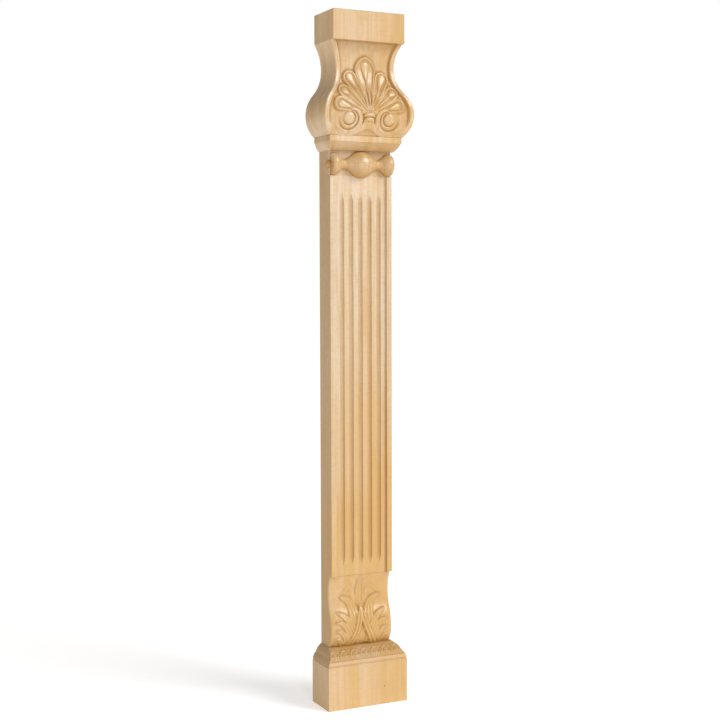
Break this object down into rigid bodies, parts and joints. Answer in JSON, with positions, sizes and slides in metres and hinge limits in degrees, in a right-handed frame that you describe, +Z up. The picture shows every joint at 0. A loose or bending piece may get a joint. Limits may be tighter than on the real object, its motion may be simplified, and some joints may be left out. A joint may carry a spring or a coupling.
{
  "type": "pilaster",
  "caption": "Slim carved wood pilaster with a flat back: moulded plinth, fluted shaft on an S-curved leaf foot, half-turned cross spindle and a vase-shaped shell capital.",
  "frame": {"origin": "on the floor, under the middle of the box around the whole pilaster", "axes": "+Z up, +Y into the wall behind the flat back, +X to the right as seen from the front"},
  "size_m": [0.1278, 0.061, 0.902],
  "materials": {
    "maple": "clear satin lacquer on pale hardwood"
  },
  "bodies": {
    "root": {"plinth": "maple", "shaft": "maple", "spindle": "maple", "capital": "maple"}
  },
  "joints": []
}
